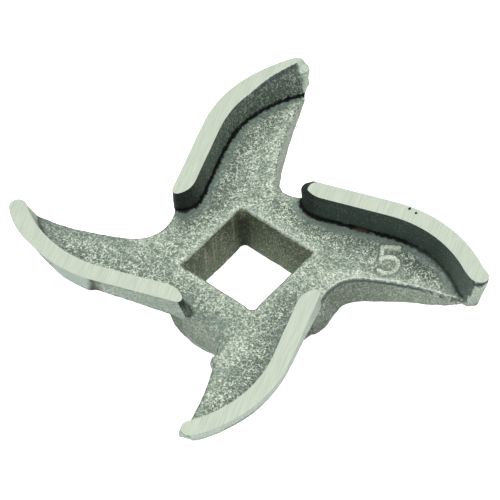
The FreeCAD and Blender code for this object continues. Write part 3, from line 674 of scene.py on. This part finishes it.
class Nodes:
    """A material's nodes, made and joined in short calls."""

    def __init__(self, name):
        self.material = bpy.data.materials.new(name)
        self.material.use_nodes = True
        self.tree = self.material.node_tree
        self.shader = self.tree.nodes["Principled BSDF"]

    def add(self, kind, values=(), **settings):
        """A node with settings, and with values or links given to its inputs."""
        node = self.tree.nodes.new("ShaderNode" + kind)
        for key, value in settings.items():
            setattr(node, key, value)
        for key, value in dict(values).items():
            self.put(node, key, value)
        return node

    def put(self, node, key, value):
        """Link an output to an input, or set the input's value."""
        if isinstance(value, bpy.types.NodeSocket):
            self.tree.links.new(value, node.inputs[key])
        else:
            node.inputs[key].default_value = value

    def scaled(self, value, low, high, low_out=0.0, high_out=1.0):
        """A value mapped smoothly from one range to another."""
        return self.add("MapRange", {"Value": value, "From Min": low, "From Max": high,
                                     "To Min": low_out, "To Max": high_out},
                        interpolation_type="SMOOTHSTEP").outputs["Result"]

    def joined(self, a, b, operation="MULTIPLY"):
        """Two values multiplied, or joined by another operation."""
        return self.add("Math", {0: a, 1: b}, operation=operation).outputs[0]

    def mixed(self, factor, a, b, blend="MIX"):
        """Two colours mixed."""
        node = self.add("Mix", {0: factor, 6: a, 7: b}, data_type="RGBA", blend_type=blend)
        return node.outputs[2]


# The cast finish: a tint and a colour in linear values, and noise cells to a metre.
SCALE_DARK, SPECK_LIGHT = (0.55, 0.58, 0.57, 1), (0.64, 0.68, 0.57, 1)
WORM_SCALE, BREAK_SCALE, PATCH_SCALE = 3100.0, 5200.0, 700.0

# The ground finish: two linear colours, and the way in degrees and cell in metres of its lines and bands.
GROUND_DARK, GROUND_LIGHT = (0.373, 0.424, 0.349, 1), (0.444, 0.495, 0.416, 1)
LINE_WAY, LINE_CELL = 112, (0.003, 0.00011, 1.0)
BAND_WAY, BAND_CELL = 108, (0.006, 0.0004, 1.0)


def cast_steel():
    """Dark scale with fine bright specks, as strong as the mesh's grain attribute says."""
    n = Nodes("cast_steel")
    place = n.add("TexCoord").outputs["Object"]
    tone_in = n.add("Attribute", attribute_name="tone").outputs["Color"]
    grain_in = n.add("Attribute", attribute_name="grain").outputs["Fac"]
    worms = n.add("TexNoise", {"Vector": place, "Scale": WORM_SCALE, "Detail": 1.0, "Roughness": 0.5,
                               "Distortion": 0.6}).outputs["Fac"]
    breaks = n.add("TexNoise", {"Vector": place, "Scale": BREAK_SCALE, "Detail": 1.0}).outputs["Fac"]
    patches = n.add("TexNoise", {"Vector": place, "Scale": PATCH_SCALE, "Detail": 2.0}).outputs["Fac"]
    off_line = n.add("Math", {0: n.joined(worms, 0.5, "SUBTRACT")}, operation="ABSOLUTE").outputs[0]
    off_line = n.joined(off_line, n.scaled(patches, 0.3, 0.7, 0.018, -0.018), "ADD")
    light = n.joined(n.scaled(off_line, 0.055, 0.012), n.scaled(breaks, 0.38, 0.52))
    dark = n.scaled(off_line, 0.05, 0.13)
    darker = n.mixed(1.0, tone_in, SCALE_DARK, "MULTIPLY")
    shade = n.mixed(n.joined(dark, grain_in), tone_in, darker)
    colour = n.mixed(n.joined(light, grain_in), shade, SPECK_LIGHT)
    n.put(n.shader, "Base Color", colour)
    n.put(n.shader, "Metallic", 0.6)
    n.put(n.shader, "Specular IOR Level", 0.15)
    n.put(n.shader, "Roughness", n.scaled(light, 0.0, 1.0, 0.55, 0.38))
    height = n.add("Bump", {"Strength": 0.6, "Distance": 0.00003, "Height": worms})
    n.put(n.shader, "Normal", height.outputs["Normal"])
    return n.material


def ground_steel():
    """Bright satin with fine grinding lines, all one way."""
    n = Nodes("ground_steel")
    place = n.add("TexCoord").outputs["Object"]
    lined, banded = (
        n.add("Mapping", {"Vector": place, "Rotation": (0, 0, math.radians(way)), "Scale": cell},
              vector_type="TEXTURE").outputs["Vector"]
        for way, cell in ((LINE_WAY, LINE_CELL), (BAND_WAY, BAND_CELL)))
    lines = n.add("TexNoise", {"Vector": lined, "Scale": 1.0, "Detail": 3.0}).outputs["Fac"]
    bands = n.add("TexNoise", {"Vector": banded, "Scale": 1.0, "Detail": 2.0}).outputs["Fac"]
    level = n.joined(n.joined(lines, 0.75), n.joined(bands, 0.25), "ADD")
    colour = n.mixed(n.scaled(level, 0.38, 0.62), GROUND_DARK, GROUND_LIGHT)
    n.put(n.shader, "Base Color", colour)
    n.put(n.shader, "Metallic", 0.85)
    n.put(n.shader, "Roughness", 0.38)
    height = n.add("Bump", {"Strength": 0.35, "Distance": 0.00001, "Height": lines})
    n.put(n.shader, "Normal", height.outputs["Normal"])
    return n.material


mesh = build_mesh(shaped, faces, land_face & (in_pit[faces].max(1) < 0.5))
mesh.materials.append(cast_steel())
mesh.materials.append(ground_steel())
knife = add_object("knife_casting", mesh)
mesh.shade_smooth()
mesh.set_sharp_from_angle(angle=math.radians(SHARP_ANGLE))
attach(knife, "root")
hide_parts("knife")

# Camera, worked out from the drive hole and the four arms: tilt and roll in degrees, focal length
# and image in pixels, sensor in millimetres, and the eye in the top arm's own frame.
TILT, ROLL, FOCAL, IMAGE, SENSOR = 51.94, 4.30, 6811.0, 500, 36.0
EYE = Vector((0.35, -419.1, 533.8 + LAND_TOP)) * MM
tilt, roll = math.radians(TILT), math.radians(ROLL)
backward = Vector((0, -math.cos(tilt), math.sin(tilt)))
level = Vector((1, 0, 0))
downward = (-backward).cross(level)
across = level * math.cos(roll) + downward * math.sin(roll)
upward = level * math.sin(roll) - downward * math.cos(roll)
aim = Matrix([(across[row], upward[row], backward[row], EYE[row]) for row in range(3)] + [(0, 0, 0, 1)])
camera_data = bpy.data.cameras.new("camera")
camera_data.sensor_width = SENSOR
camera_data.lens = FOCAL * SENSOR / IMAGE
camera_data.clip_end = 10
camera = add_object("camera", camera_data)
camera.matrix_world = Matrix.Rotation(math.radians(ARM_TURN), 4, "Z") @ aim
bpy.context.scene.camera = camera

# White floor just under the knife, and soft light, in metres.
FLOOR_HALF, FLOOR_GAP = 2.0, 0.00002
LAMP_SIZE, LAMP_HEIGHT, LAMP_WATTS, WORLD_LEVEL = 1.6, 0.8, 9.7, 0.6
floor_mesh = bpy.data.meshes.new("floor")
floor_mesh.from_pydata([(-FLOOR_HALF, -FLOOR_HALF, 0), (FLOOR_HALF, -FLOOR_HALF, 0),
                        (FLOOR_HALF, FLOOR_HALF, 0), (-FLOOR_HALF, FLOOR_HALF, 0)], [], [(0, 1, 2, 3)])
floor = add_object("floor", floor_mesh)
floor.location.z = CAD_BOX[0][2] - FLOOR_GAP
paper = Nodes("floor_paper")
paper.put(paper.shader, "Base Color", (0.9, 0.9, 0.9, 1))
paper.put(paper.shader, "Roughness", 0.9)
paper.put(paper.shader, "Emission Color", (1, 1, 1, 1))
paper.put(paper.shader, "Emission Strength", paper.add("LightPath").outputs["Is Camera Ray"])
floor_mesh.materials.append(paper.material)

world = bpy.data.worlds.new("studio")
bpy.context.scene.world = world
world.use_nodes = True
sky = world.node_tree.nodes["Background"]
sky.inputs["Color"].default_value = (1, 1, 1, 1)
sky.inputs["Strength"].default_value = WORLD_LEVEL

lamp_data = bpy.data.lights.new("soft_top", "AREA")
lamp_data.shape = "SQUARE"
lamp_data.size = LAMP_SIZE
lamp_data.energy = LAMP_WATTS
lamp = add_object("soft_top", lamp_data)
lamp.location = (0, 0, LAMP_HEIGHT)

bpy.context.scene.view_settings.view_transform = "Standard"
